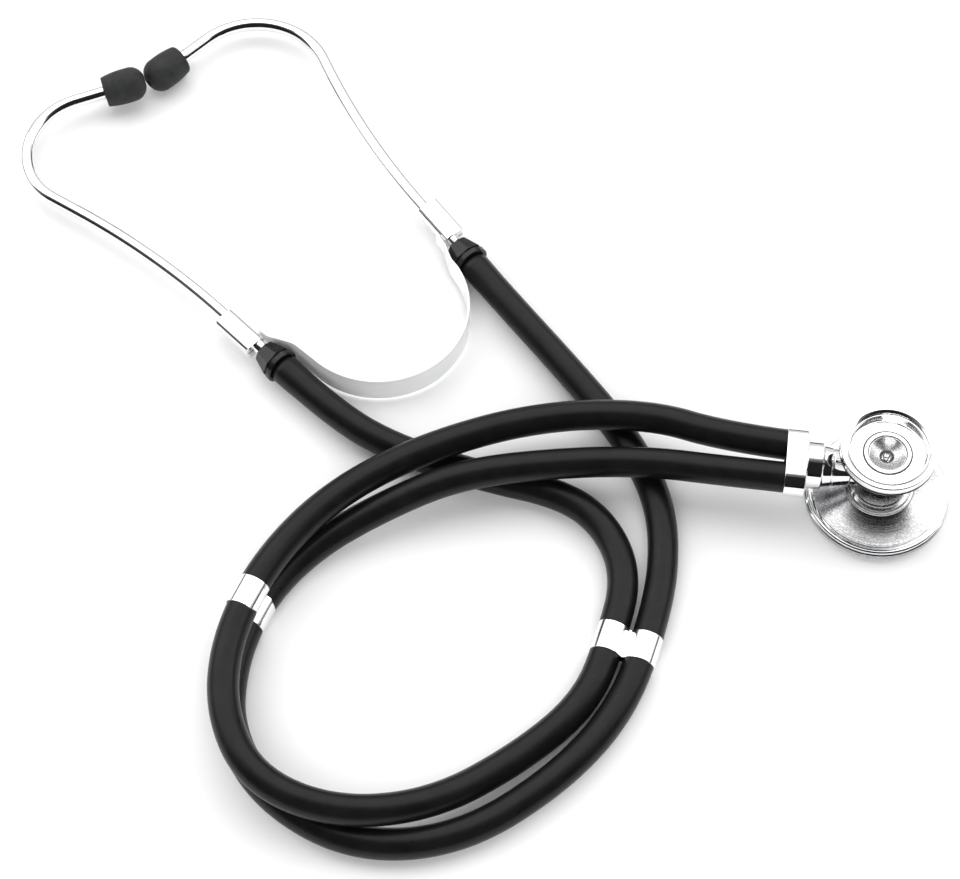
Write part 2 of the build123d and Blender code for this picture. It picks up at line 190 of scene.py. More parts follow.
def node(finish, kind, **values):
    made = finish.node_tree.nodes.new(kind)
    for key, value in values.items():
        if key in made.inputs:
            made.inputs[key].default_value = value
        else:
            setattr(made, key, value)
    return made


def join(finish, source, target):
    finish.node_tree.links.new(source, target)


def surface_noise(finish, scale, detail=4.0, rough=0.55):
    """Noise fixed to the piece, in its own coordinates."""
    place = node(finish, "ShaderNodeTexCoord")
    noise = node(finish, "ShaderNodeTexNoise", Scale=scale, Detail=detail, Roughness=rough)
    join(finish, place.outputs["Object"], noise.inputs["Vector"])
    return noise.outputs["Fac"]


def spread(finish, value, low, high, source=(0.3, 0.7)):
    """Stretch a value so that it runs from low to high."""
    span = node(finish, "ShaderNodeMapRange")
    for socket, number in zip(("From Min", "From Max", "To Min", "To Max"), (*source, low, high)):
        span.inputs[socket].default_value = number
    join(finish, value, span.inputs["Value"])
    return span.outputs["Result"]


def shader_of(finish):
    return finish.node_tree.nodes["Principled BSDF"]


def vary_roughness(finish, value, low, high):
    join(finish, spread(finish, value, low, high), shader_of(finish).inputs["Roughness"])


def vary_colour(finish, value, dark, light):
    ramp = node(finish, "ShaderNodeValToRGB")
    ramp.color_ramp.elements[0].position = 0.3
    ramp.color_ramp.elements[1].position = 0.7
    ramp.color_ramp.elements[0].color = dark
    ramp.color_ramp.elements[1].color = light
    join(finish, value, ramp.inputs["Fac"])
    join(finish, ramp.outputs["Color"], shader_of(finish).inputs["Base Color"])


def add_bump(finish, value, depth, strength=1.0):
    bump = node(finish, "ShaderNodeBump", Strength=strength, Distance=depth)
    join(finish, value, bump.inputs["Height"])
    shader = shader_of(finish)
    if shader.inputs["Normal"].is_linked:
        join(finish, shader.inputs["Normal"].links[0].from_socket, bump.inputs["Normal"])
    join(finish, bump.outputs["Normal"], shader.inputs["Normal"])


def shade(colour, factor):
    return (*(channel * factor for channel in colour[:3]), 1)


def turning_lines(finish, pitch):
    """Fine rings round the Z axis, as a lathe or a polishing wheel leaves them."""
    place = node(finish, "ShaderNodeTexCoord")
    flat = node(finish, "ShaderNodeVectorMath", operation="MULTIPLY")
    flat.inputs[1].default_value = (1, 1, 0)
    distance = node(finish, "ShaderNodeVectorMath", operation="LENGTH")
    rings = node(finish, "ShaderNodeTexNoise", noise_dimensions="1D", Scale=1 / pitch, Detail=3.0)
    join(finish, place.outputs["Object"], flat.inputs[0])
    join(finish, flat.outputs["Vector"], distance.inputs[0])
    join(finish, distance.outputs["Value"], rings.inputs["W"])
    return rings.outputs["Fac"]


def make_finishes(colours):
    chrome = new_finish("polished_chrome", Metallic=1.0)
    vary_roughness(chrome, surface_noise(chrome, 260), 0.03, 0.085)
    vary_colour(chrome, surface_noise(chrome, 60), shade(colours.chrome_colour, 0.94),
                tuple(colours.chrome_colour))
    add_bump(chrome, surface_noise(chrome, 420, 2), 0.000006)

    turned = new_finish("turned_steel", Metallic=1.0)
    vary_colour(turned, surface_noise(turned, 2000, 6), (0.38, 0.38, 0.385, 1),
                (0.68, 0.68, 0.69, 1))
    vary_roughness(turned, surface_noise(turned, 1600, 5), 0.14, 0.27)
    add_bump(turned, turning_lines(turned, 0.00016), 0.00003)

    spring = new_finish("spring_strip", Metallic=0.08, Specular_IOR_Level=0.6)
    vary_colour(spring, surface_noise(spring, 120), (0.9, 0.905, 0.91, 1), (0.96, 0.96, 0.965, 1))
    vary_roughness(spring, surface_noise(spring, 500), 0.16, 0.26)
    add_bump(spring, surface_noise(spring, 900, 3), 0.00001)

    knurl = new_finish("knurled_edge", Metallic=1.0)
    vary_colour(knurl, surface_noise(knurl, 1200, 5), (0.34, 0.34, 0.345, 1), (0.62, 0.62, 0.63, 1))
    vary_roughness(knurl, surface_noise(knurl, 800, 4), 0.25, 0.42)

    hose = new_finish("satin_hose_black", Specular_IOR_Level=0.2)
    vary_colour(hose, surface_noise(hose, 180), shade(colours.hose_colour, 0.75),
                shade(colours.hose_colour, 1.25))
    vary_roughness(hose, surface_noise(hose, 420, 5), 0.27, 0.38)
    add_bump(hose, surface_noise(hose, 1500, 3), 0.000012)
    add_bump(hose, surface_noise(hose, 55, 2), 0.00008, 0.6)

    tip = new_finish("ear_tip_rubber", Specular_IOR_Level=0.2)
    vary_colour(tip, surface_noise(tip, 260), shade(colours.tip_colour, 0.8),
                shade(colours.tip_colour, 1.3))
    vary_roughness(tip, surface_noise(tip, 700, 5), 0.5, 0.66)
    add_bump(tip, surface_noise(tip, 2200, 4), 0.00002)

    adapter = new_finish("moulded_black", Specular_IOR_Level=0.3, Coat_Weight=0.12,
                         Coat_Roughness=0.06)
    vary_colour(adapter, surface_noise(adapter, 200), shade(colours.adapter_colour, 0.8),
                shade(colours.adapter_colour, 1.3))
    vary_roughness(adapter, surface_noise(adapter, 600, 4), 0.14, 0.28)
    add_bump(adapter, surface_noise(adapter, 500, 2), 0.00001)

    film = new_finish("diaphragm_film", Specular_IOR_Level=0.5)
    vary_colour(film, surface_noise(film, 600), (0.74, 0.74, 0.72, 1), (0.84, 0.84, 0.82, 1))
    vary_roughness(film, surface_noise(film, 1400, 5), 0.28, 0.42)
    add_bump(film, surface_noise(film, 2600, 4), 0.00001)

    clear = new_finish("clear_film", Transmission_Weight=1.0, IOR=1.3, Base_Color=(1, 1, 1, 1))
    vary_roughness(clear, surface_noise(clear, 300), 0.0, 0.03)

    # painted shade: near-black metal laid where shade falls, in the small head's sound hole and
    # grooves and on the small ring's lower band
    bore = new_finish("painted_shade_black", Metallic=1.0)
    vary_colour(bore, surface_noise(bore, 900), (0.03, 0.03, 0.03, 1), (0.07, 0.07, 0.07, 1))
    vary_roughness(bore, surface_noise(bore, 700), 0.5, 0.7)

    brass = new_finish("turned_brass", Metallic=1.0)
    vary_colour(brass, surface_noise(brass, 400), (0.62, 0.46, 0.2, 1), (0.74, 0.57, 0.28, 1))
    vary_roughness(brass, surface_noise(brass, 600), 0.22, 0.36)


def finish_of(name):
    return bpy.data.materials[name]


def use_finish(name, finish):
    """Give a CAD node its finish."""
    piece = frame["nodes"][name]
    piece = bpy.data.objects[piece] if isinstance(piece, str) else piece
    if not piece.material_slots:
        raise RuntimeError(f"{name} has no material slot")
    for slot in piece.material_slots:
        slot.material = finish_of(finish)


# ------------------------------------------------------------------ shapes


def add_piece(name, builder, finishes, body=None):
    """Put a finished bmesh in the scene, with its finishes, under its body's empty if one is given.
    """
    bmesh.ops.remove_doubles(builder, verts=builder.verts, dist=1e-7)
    bmesh.ops.recalc_face_normals(builder, faces=builder.faces)
    for face in builder.faces:
        face.smooth = True
    mesh = bpy.data.meshes.new(name)
    builder.to_mesh(mesh)
    builder.free()
    for finish in finishes:
        mesh.materials.append(finish_of(finish))
    piece = bpy.data.objects.new(name, mesh)
    bpy.context.scene.collection.objects.link(piece)
    if body:
        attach(piece, body)
    return piece


def even_normals(piece):
    """Keep flat faces flat beside their small rounded corners."""
    bpy.context.view_layer.update()
    normals = piece.modifiers.new("even_normals", "WEIGHTED_NORMAL")
    normals.weight = 80
    return piece


def corner_curve(first, corner, last, steps):
    """Points along the round that replaces a corner."""
    for step in range(steps + 1):
        t = step / steps
        yield first * (1 - t) ** 2 + corner * 2 * t * (1 - t) + last * t**2


def rounded(outline, radius=0.15, steps=4):
    """Round each corner of a closed outline that isn't on the axis."""
    points = [Vector(point) for point in outline]
    made = []
    for index, corner in enumerate(points):
        before, after = points[index - 1], points[(index + 1) % len(points)]
        turn = (corner - before).angle(after - corner, 0)
        if turn < math.radians(14) or abs(corner.x) < 1e-6:
            made.append(corner)
            continue
        reach = min(radius, 0.42 * (corner - before).length, 0.42 * (after - corner).length)
        first = corner + (before - corner).normalized() * reach
        last = corner + (after - corner).normalized() * reach
        made.extend(corner_curve(first, corner, last, steps))
    return made


def through(first, middle, last, steps=10):
    """Points along the circle through three points, without the first."""
    a, b, c = Vector(first), Vector(middle), Vector(last)
    d = 2 * (a.x * (b.y - c.y) + b.x * (c.y - a.y) + c.x * (a.y - b.y))
    square = [point.length_squared for point in (a, b, c)]
    centre = Vector((
        (square[0] * (b.y - c.y) + square[1] * (c.y - a.y) + square[2] * (a.y - b.y)) / d,
        (square[0] * (c.x - b.x) + square[1] * (a.x - c.x) + square[2] * (b.x - a.x)) / d,
    ))
    start = math.atan2(*(a - centre).yx)
    sweep = math.remainder(math.atan2(*(c - centre).yx) - start, 2 * math.pi)
    radius = (a - centre).length
    return [
        tuple(centre + Vector((math.cos(angle), math.sin(angle))) * radius)
        for angle in (start + sweep * (step + 1) / steps for step in range(steps))
    ]


def ring_turns(sides, half_flat=0.0):
    """Cosine, sine and sideways shift of each point round a circle or a racetrack."""
    turns = []
    for half in (1, -1):
        for step in range(sides // 2 + (1 if half_flat else 0)):
            angle = math.pi * (2 * step / sides - 0.5) + (0 if half == 1 else math.pi)
            turns.append((math.cos(angle), math.sin(angle), half * half_flat))
    return turns


def skin(builder, ring, following):
    """Close the band between two rings with faces."""
    count = len(ring)
    return [
        builder.faces.new((
            ring[k], ring[(k + 1) % count], following[(k + 1) % count], following[k]))
        for k in range(count)
    ]


def turned(outline, place, axis, sides=144, half_flat=0.0, teeth=None, zone=None):
    """Turn a closed outline of (radius, distance along) in mm about an axis."""
    axis = Vector(axis).normalized()
    across = Vector((0, 1, 0)) if abs(axis.y) < 0.5 else Vector((0, 0, 1))
    across = (across - axis * across.dot(axis)).normalized()
    upright = axis.cross(across)
    turns = ring_turns(sides, half_flat)
    builder = bmesh.new()
    rings = []
    for radius, along in outline:
        ring = []
        for index, (cosine, sine, shift) in enumerate(turns):
            reach = radius - (teeth(radius, along, index) if teeth else 0)
            ring.append(builder.verts.new(
                Vector(place) + axis * along * MM + across * (cosine * reach * MM + shift)
                + upright * sine * reach * MM))
        rings.append(ring)
    for level, ring in enumerate(rings):
        following = rings[(level + 1) % len(rings)]
        a, b = outline[level], outline[(level + 1) % len(outline)]
        if max(a[0], b[0]) < 1e-6:
            continue
        index = zone((a[0] + b[0]) / 2, (a[1] + b[1]) / 2) if zone else 0
        for face in skin(builder, ring, following):
            face.material_index = index
    return builder


def heading_at(line, index):
    """The line's heading at one of its points."""
    before, after = line[max(index - 1, 0)], line[min(index + 1, len(line) - 1)]
    return (after - before).normalized()


def line_frames(line):
    """A point, heading and two cross directions at each point, without twist."""
    headings = [heading_at(line, index) for index in range(len(line))]
    up = Vector((0, 0, 1))
    frames = []
    for point, heading in zip(line, headings):
        up = (up - heading * up.dot(heading)).normalized()
        frames.append((point, heading, up.cross(heading), up))
    return frames


def distances(line):
    total, made = 0.0, [0.0]
    for before, after in zip(line, line[1:]):
        total += (after - before).length
        made.append(total)
    return made


def swept(line, radius_at, sides=48, bore=0.0015):
    """Sweep a round tube along a line, with a shallow bore in each end."""
    frames = line_frames(line)
    lengths = distances(line)
    whole = lengths[-1]
    stations = [(*at, radius_at(length, whole)) for at, length in zip(frames, lengths)]
    builder = bmesh.new()
    rings = []

    def ring_at(point, across, up, radius):
        rings.append([
            builder.verts.new(point + (across * math.cos(angle) + up * math.sin(angle)) * radius)
            for angle in (2 * math.pi * k / sides for k in range(sides))])

    soft, bore_depth = 0.0003, 0.003
    first, last = stations[0], stations[-1]
    ring_at(first[0] + first[1] * bore_depth, first[2], first[3], bore)
    ring_at(first[0], first[2], first[3], bore)
    ring_at(first[0], first[2], first[3], first[4] - soft)
    ring_at(first[0] + first[1] * soft, first[2], first[3], first[4])
    for point, heading, across, up, radius in stations[1:-1]:
        ring_at(point, across, up, radius)
    ring_at(last[0] - last[1] * soft, last[2], last[3], last[4])
    ring_at(last[0], last[2], last[3], last[4] - soft)
    ring_at(last[0], last[2], last[3], bore)
    ring_at(last[0] - last[1] * bore_depth, last[2], last[3], bore)
    for ring, following in zip(rings, rings[1:]):
        skin(builder, ring, following)
    builder.faces.new(rings[0])
    builder.faces.new(rings[-1])
    return builder


def hose_line(name, route):
    """The smooth line that a hose follows, read from a NURBS spline."""
    curve = bpy.data.curves.new(name + "_line", "CURVE")
    curve.dimensions = "3D"
    curve.resolution_u = 16
    spline = curve.splines.new("NURBS")
    spline.points.add(len(route) - 1)
    for point, place in zip(spline.points, route):
        point.co = (*place, 1)
    spline.order_u = 3
    spline.use_endpoint_u = True
    holder = bpy.data.objects.new(name + "_line", curve)
    mesh = bpy.data.meshes.new_from_object(holder)
    line = [vertex.co.copy() for vertex in mesh.vertices]
    bpy.data.objects.remove(holder)
    bpy.data.curves.remove(curve)
    bpy.data.meshes.remove(mesh)
    return line


def rounded_path(points, radii, steps=8):
    """A path through corner points in plan, with each inner corner rounded."""
    made = [points[0]]
    for before, corner, after, radius in zip(points, points[1:], points[2:], radii):
        half = (corner - before).angle(after - corner) / 2
        reach = radius * math.tan(half)
        first = corner + (before - corner).normalized() * reach
        last = corner + (after - corner).normalized() * reach
        made.extend(corner_curve(first, corner, last, steps))
    made.append(points[-1])
    return made


def arm_frame(name):
    """Where an arm's ear tube leaves its adapter, its heading and its left side."""
    joint = JOINTS[f"{name}_ear_tube_turn"]
    heading = Vector(joint["axis"]).normalized()
    return Vector(joint["pos_m"]), heading, Vector((-heading.y, heading.x, 0))


def ear_tube_line(name):
    """The ear tube's line, and the place and heading of its tip's base."""
    arm = ARMS[name]
    mouth, heading, left = arm_frame(name)
    side = arm["side"]
    roll = math.radians(arm["roll"])
    level = Vector((0, 0, math.cos(roll))) + left * side * math.sin(roll)
    bends = (
        (24.8, 0, 2), (300, side * arm["flare"], 24), (arm["straight"], 0, 2),
        (arm["hook_radius"], -side * arm["hook"], 72), (arm["end"] + TUBE_INSIDE_TIP, 0, 2),
    )
    place = mouth - heading * TUBE_INSIDE_BRACKET * MM
    line = [place.copy()]
    for size, degrees, steps in bends:
        if not degrees:
            for step in range(steps):
                line.append(line[-1] + heading * size * MM / steps)
            continue
        turn = Matrix.Rotation(math.radians(degrees / steps), 3, level)
        half = Matrix.Rotation(math.radians(degrees / steps) / 2, 3, level)
        chord = 2 * size * MM * math.sin(math.radians(abs(degrees) / steps) / 2)
        for step in range(steps):
            line.append(line[-1] + half @ heading * chord)
            heading = turn @ heading
    return line, line[-1] - heading * TUBE_INSIDE_TIP * MM, heading


# ------------------------------------------------------------------ operators


class BuildStep(bpy.types.Operator):
    """Base of the build steps."""

    bl_options = {"REGISTER", "UNDO"}

    def execute(self, context):
        self.build(context.scene.stethoscope_sizes, context.scene.stethoscope_finishes)
        return {"FINISHED"}


class STETHOSCOPE_OT_stage(BuildStep):
    """Set the camera, the pale floor and the soft studio light"""

    bl_idname = "stethoscope.stage"
    bl_label = "Stage and camera"

    def build(self, sizes, colours):
        scene = bpy.context.scene
        self.camera(scene)
        self.floor(colours)
        self.world(scene)
        self.lights()
        scene.view_settings.view_transform = "Standard"

    def camera(self, scene):
        heading, height = CAMERA_HEADING, CAMERA_HEIGHT
        forward = Vector((
            -math.sin(heading) * math.cos(height), math.cos(heading) * math.cos(height),
            -math.sin(height)))
        lens = bpy.data.cameras.new("studio_camera")
        lens.sensor_width = 36
        lens.lens = CAMERA_LENS
        lens.clip_start = 0.01
        camera = bpy.data.objects.new("studio_camera", lens)
        camera.location = CAMERA_AIM - forward * CAMERA_DISTANCE
        camera.rotation_euler = forward.to_track_quat("-Z", "Y").to_euler()
        scene.collection.objects.link(camera)
        scene.camera = camera

    def floor(self, colours):
        builder = bmesh.new()
        bmesh.ops.create_grid(builder, x_segments=2, y_segments=2, size=5.0)
        mesh = bpy.data.meshes.new("floor")
        builder.to_mesh(mesh)
        builder.free()
        finish = new_finish("floor_paper", Specular_IOR_Level=0.1)
        vary_colour(finish, surface_noise(finish, 3), shade(colours.floor_colour, 0.985),
                    tuple(colours.floor_colour))
        vary_roughness(finish, surface_noise(finish, 30), 0.85, 0.95)
        mesh.materials.append(finish)
        floor = bpy.data.objects.new("floor", mesh)
        floor.location = (-0.13, 0, -0.0002)
        bpy.context.scene.collection.objects.link(floor)

    def world(self, scene):
        """White above and behind, dark in front and near the horizon."""
        world = bpy.data.worlds.new("studio_room")
        scene.world = world
        world.use_nodes = True
        nodes, links = world.node_tree.nodes, world.node_tree.links
        place = nodes.new("ShaderNodeTexCoord")
        behind = nodes.new("ShaderNodeVectorMath")
        behind.operation = "DOT_PRODUCT"
        behind.inputs[1].default_value = (-math.sin(CAMERA_HEADING), math.cos(CAMERA_HEADING), 0)
        split = nodes.new("ShaderNodeSeparateXYZ")
        links.new(place.outputs["Generated"], behind.inputs[0])
        links.new(place.outputs["Generated"], split.inputs["Vector"])
        curtain = self.grey_ramp(nodes, (
            (0.0, 0.02), (0.30, 0.02), (0.42, 0.25), (0.50, 1.0)))
        halved = nodes.new("ShaderNodeMapRange")
        halved.inputs["From Min"].default_value = -1
        links.new(behind.outputs["Value"], halved.inputs["Value"])
        links.new(halved.outputs["Result"], curtain.inputs["Fac"])
        horizon = self.grey_ramp(nodes, (
            (0.0, 0.03), (0.10, 0.04), (0.18, 0.8), (0.34, 1.0)))
        links.new(split.outputs["Z"], horizon.inputs["Fac"])
        both = nodes.new("ShaderNodeMath")
        both.operation = "MULTIPLY"
        links.new(curtain.outputs["Color"], both.inputs[0])
        links.new(horizon.outputs["Color"], both.inputs[1])
        seen = nodes.new("ShaderNodeLightPath")
        either = nodes.new("ShaderNodeMath")
        either.operation = "MAXIMUM"
        links.new(both.outputs["Value"], either.inputs[0])
        links.new(seen.outputs["Is Camera Ray"], either.inputs[1])
        links.new(either.outputs["Value"], nodes["Background"].inputs["Color"])
        nodes["Background"].inputs["Strength"].default_value = 0.86

    def grey_ramp(self, nodes, stops):
        ramp = nodes.new("ShaderNodeValToRGB")
        elements = ramp.color_ramp.elements
        while len(elements) < len(stops):
            elements.new(0.5)
        for element, (position, grey) in zip(elements, stops):
            element.position = position
            element.color = (grey, grey, grey, 1)
        return ramp

    def lights(self):
        for name, place, size, power in (
            ("top_softbox", (-0.2, 0.6, 1.1), 1.5, 9.0),
            ("left_softbox", (-1.1, 0.3, 0.75), 0.9, 3.5),
            ("right_softbox", (0.75, 0.35, 0.7), 0.8, 3.0),
            ("front_fill", (-0.1, -1.1, 0.9), 1.2, 13.0),
        ):
            light = bpy.data.lights.new(name, "AREA")
            light.size = size
            light.energy = power
            lamp = bpy.data.objects.new(name, light)
            lamp.location = place
            aim = Vector((-0.13, 0, 0)) - Vector(place)
            lamp.rotation_euler = aim.to_track_quat("-Z", "Y").to_euler()
            # the fill lifts the shadows and stays out of the polished metal
            lamp.visible_glossy = name != "front_fill"
            bpy.context.scene.collection.objects.link(lamp)


class STETHOSCOPE_OT_finishes(BuildStep):
    """Make the materials that the pieces share"""

    bl_idname = "stethoscope.finishes"
    bl_label = "Finishes"

    def build(self, sizes, colours):
        make_finishes(colours)


class STETHOSCOPE_OT_hoses(BuildStep):
    """Lay the two rubber hoses and their loop clips"""

    bl_idname = "stethoscope.hoses"
    bl_label = "Hoses and loop clips"

    def build(self, sizes, colours):
        lines = {
            "far_hose": hose_line("far_hose", FAR_ROUTE),
            "near_hose": hose_line("near_hose", NEAR_ROUTE),
        }
        clips = [self.clip(name, lines) for name in LOOP_CLIPS]
        radius = sizes.hose_diameter / 2

        def radius_at(length, whole):
            swell = 0
            for reach, from_end in (
                (ADAPTER_BARB_REACH, length), (COLLAR_BARB_REACH, whole - length),
            ):
                if from_end < reach:
                    swell = sizes.barb_swell * math.cos(from_end / reach * math.pi / 2) ** 2
            return radius + swell

        for name, arm, on_it in (("far_hose", "left", clips), ("near_hose", "right", [])):
            line = lines[name]
            hose = add_piece(name + "_tube", swept(line, radius_at, 56, HOSE_BORE_RADIUS),
                             ["satin_hose_black"])
            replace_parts(hose, name)
            tuple(line[0])
            [tuple(point) for point in line]
            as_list(on_it)
            lengths = distances(line)
            down = next(p for p, length in zip(line, lengths) if length > HOSE_GIVE)
            tuple(line[0])
            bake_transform(hose)

    def clip(self, name, lines):
        """Two bands rolled from one strip, pinched together between the hoses."""
        frames = []
        for line, centre in zip(lines.values(), LOOP_CLIPS[name]):
            nearest = min(range(len(line)), key=lambda k: (line[k] - Vector(centre)).length)
            frames.append((line[nearest], (line[nearest + 1] - line[nearest - 1]).normalized()))
        (first, along), (second, other) = frames
        along = (along + (other if along.dot(other) > 0 else -other)).normalized()
        between = second - first
        between -= along * between.dot(along)
        middle = (first + second) / 2
        half = between.length / 2
        across = between.normalized()
        upright = along.cross(across)
        radius, wall, pinch = 0.0052, 0.0004, 0.28
        # outline of the strip, seen along the hoses: two rounds joined by a waist
        outside = []
        steps = 40
        open_angle = math.radians(152)
        for side in (1, -1):
            for step in range(steps + 1):
                angle = -open_angle + 2 * open_angle * step / steps
                outside.append((side * (half + math.cos(angle) * radius),
                                side * math.sin(angle) * radius))
        smooth = []
        for index, (x, y) in enumerate(outside):
            smooth.append(Vector((x, y)))
            if index in (steps, 2 * steps + 1):
                nearer = outside[(index + 1) % len(outside)]
                for t in (0.25, 0.5, 0.75):
                    waist_y = y * (1 - pinch * math.sin(math.pi * t))
                    smooth.append(Vector((x + (nearer[0] - x) * t, waist_y)))
        count = len(smooth)
        profile = [
            (wall, -1.0), (0.12 * wall, -1.0), (0, -0.96), (0, 0.96), (0.12 * wall, 1.0),
            (wall, 1.0),
        ]
        builder = bmesh.new()
        rings = []
        for depth, reach in profile:
            ring = []
            for index, point in enumerate(smooth):
                tangent = (smooth[(index + 1) % count] - smooth[index - 1]).normalized()
                inward = Vector((-tangent.y, tangent.x))
                spot = point + inward * depth
                ring.append(builder.verts.new(
                    middle + across * spot.x + upright * spot.y
                    + along * reach * CLIP_HALF_WIDTH))
            rings.append(ring)
        for level in range(len(rings)):
            skin(builder, rings[level], rings[(level + 1) % len(rings)])
        piece = even_normals(add_piece(name + "_band", builder, ["polished_chrome"],
                                       "tubing"))
        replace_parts(piece, name)
        return piece


class STETHOSCOPE_OT_stem(BuildStep):
    """Build the hose collar and the turning valve stem"""

    bl_idname = "stethoscope.stem"
    bl_label = "Collar and stem"

    def build(self, sizes, colours):
        centre = (0, 0, STEM_AXIS_HEIGHT)
        collar_outline = rounded([
            (6.0, -31.5), (6.0, -24.8), (5.2, -24.8), (5.2, -31.5)], 0.3)
        collar = add_piece(
            "collar_shell",
            turned(collar_outline, centre, (1, 0, 0), 96, half_flat=0.006),
            ["polished_chrome"], "tubing")
        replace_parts(even_normals(collar), "hose_collar")
        plug_outline = rounded([
            (0, -26.4), (5.1, -26.4), (5.1, -24.8), (0, -24.8)], 0.1)
        plug = add_piece(
            "collar_plug",
            turned(plug_outline, centre, (1, 0, 0), 96, half_flat=0.006),
            ["polished_chrome"], "tubing")
        even_normals(plug)
        stem_outline = rounded([
            (0, -24.8), (7.7, -24.8), (8.0, -24.5), (8.0, -19.9), (7.7, -19.6), (7.25, -19.6),
            (7.1, -19.1), (6.65, -16.6), (6.35, -16.5), (6.3, -16.0), (6.5, -15.9),
            (5.5, -10.6), (4.0, -10.6), (4.0, 5.6), (3.7, 5.9), (0, 5.9)], 0.2)
        stem = add_piece("stem_turning", turned(stem_outline, centre, (1, 0, 0), 144),
                         ["polished_chrome"], "tubing")
        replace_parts(even_normals(stem), "valve_stem")


class STETHOSCOPE_OT_large_head(BuildStep):
    """Turn the large head's dish, its knurled screw ring and its diaphragm"""

    bl_idname = "stethoscope.large_head"
    bl_label = "Large head"

    def build(self, sizes, colours):
        origin = (0, 0, 0)
        outline = [
            (1.8, 3.8), (18.6, 1.8), (19.0, 1.2), (20.5, 1.2), (20.5, 4.7), (22.8, 4.7),
            (23.3, 5.1)]
        outline += through((23.3, 5.1), (22.75, 5.85), (21.9, 5.6), 8)
        outline += [(21.8, 5.2), (21.1, 5.2), (21.0, 5.7)]
        outline += through((21.0, 5.7), (15.6, 7.1), (11.5, 9.2), 14)
        outline += [(11.3, 9.7), (10.5, 9.8), (10.3, 10.6), (1.8, 10.6)]
        head = add_piece(
            "large_head_dish",
            turned(rounded(outline, 0.12, 3), origin, (0, 0, 1), 192,
                   zone=lambda radius, along: 1 if 10.2 < radius < 21.05 and along > 5.4 else 0),
            ["polished_chrome", "turned_steel"], "chestpiece")
        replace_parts(even_normals(head), "large_head_body")

        depth = sizes.knurl_depth / MM
        ring_sides = sizes.knurl_teeth * 4

        def teeth(radius, along, index):
            if radius < 23.3 or not 2.35 < along < 4.05:
                return 0
            return depth * (1, 0.5, 0, 0.5)[index % 4]

        ring_outline = rounded([
            (18.6, 0), (22.0, 0), (23.5, 2.2), (23.5, 2.5), (23.5, 3.9), (23.5, 4.1),
            (23.1, 4.4), (20.6, 4.4), (20.6, 0.7), (18.6, 0.7)], 0.12, 3)
        ring = add_piece(
            "large_screw_ring",
            turned(ring_outline, origin, (0, 0, 1), ring_sides, teeth=teeth,
                   zone=lambda radius, along: 1 if radius > 23.3 and 2.3 < along < 4.1 else 0),
            ["polished_chrome", "knurled_edge"], "chestpiece")
        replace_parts(even_normals(ring), "large_retaining_ring")

        film_outline = rounded([
            (0, 0), (17.0, 0), (17.3, 0.12), (17.7, 0.0), (18.1, 0.0), (18.4, 0.75), (20.3, 0.75),
            (20.3, 1.15), (18.0, 1.15), (17.7, 0.4), (0, 0.4)], 0.1, 3)
        film = add_piece("large_head_film", turned(film_outline, origin, (0, 0, 1), 144),
                         ["diaphragm_film"], "chestpiece")
        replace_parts(even_normals(film), "large_diaphragm")


class STETHOSCOPE_OT_drum(BuildStep):
    """Finish the drum between the heads, and its detent"""

    bl_idname = "stethoscope.drum"
    bl_label = "Drum"

    def build(self, sizes, colours):
        use_finish("drum_body", "polished_chrome")
        for name in ("detent_ball", "detent_spring", "detent_screw"):
            use_finish(name, "spring_strip")
        for name, low in (("drum_lower_bead", 10.6), ("drum_upper_bead", 26.3)):
            outline = rounded([
                (9.3, low), (9.75, low), (9.75, low + 1.0), (9.3, low + 1.0)], 0.3)
            bead = add_piece(name, turned(outline, (0, 0, 0), (0, 0, 1), 144),
                             ["polished_chrome"], "chestpiece")
            even_normals(bead)


class STETHOSCOPE_OT_small_head(BuildStep):
    """Turn the small head, its screw ring and its clear diaphragm"""

    bl_idname = "stethoscope.small_head"
    bl_label = "Small head"

    def zone(self, radius, along):
        """The dimple is left as turned; the sound hole and the two grooves are painted dark as
        shade.
        """
        if radius < 2.2 or 7.55 < radius < 8.0 or 6.05 < radius < 6.3:
            return 2
        return 1 if radius < 6.0 and along > 28 else 0

    def build(self, sizes, colours):
        origin = (0, 0, 0)
        outline = [
            (1.8, 27.4), (9.3, 27.4), (10.5, 27.9), (14.9, 29.6), (14.9, 30.2), (13.3, 30.2),
            (13.3, 33.1), (12.4, 33.1), (12.4, 31.6)]
        outline += through((12.4, 31.6), (12.14, 30.96), (11.5, 30.7), 8)
        outline += [
            (8.0, 30.7), (7.95, 30.35), (7.6, 30.35), (7.5, 31.0), (6.35, 31.0), (6.25, 30.6),
            (6.0, 30.6), (5.8, 30.5), (4.6, 29.5), (2.4, 28.4), (1.8, 28.2)]
        # the sound hole and the two grooves take the near-black finish as painted shade
        head = add_piece("small_head_cup", turned(rounded(outline, 0.12, 3), origin, (0, 0, 1), 160,
                                zone=self.zone),
                         ["polished_chrome", "turned_steel", "painted_shade_black"], "chestpiece")
        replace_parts(even_normals(head), "small_head_body")

        ring_outline = rounded([
            (13.4, 30.3), (15.1, 30.3), (15.5, 30.8), (15.5, 31.6), (15.3, 31.75), (15.3, 31.95),
            (15.5, 32.1), (15.5, 34.0), (15.2, 34.5), (13.9, 34.5), (12.9, 33.95), (12.9, 33.6),
            (13.4, 33.6)], 0.16, 3)
        # the ring's lower band, up to its groove, is painted near-black as the shade in the gap
        # between ring and head
        ring = add_piece("small_screw_ring", turned(ring_outline, origin, (0, 0, 1), 160,
                                zone=lambda radius, along: 1 if along < 31.7 else 0),
                         ["polished_chrome", "painted_shade_black"], "chestpiece")
        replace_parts(even_normals(ring), "small_retaining_ring")

        film_outline = rounded([
            (0, 33.2), (13.3, 33.2), (13.3, 33.5), (12.6, 33.5), (12.3, 33.62), (12.0, 33.5),
            (0, 33.5)], 0.08, 3)
        film = add_piece("small_head_film", turned(film_outline, origin, (0, 0, 1), 144),
                         ["clear_film"], "chestpiece")
        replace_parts(even_normals(film), "small_diaphragm")


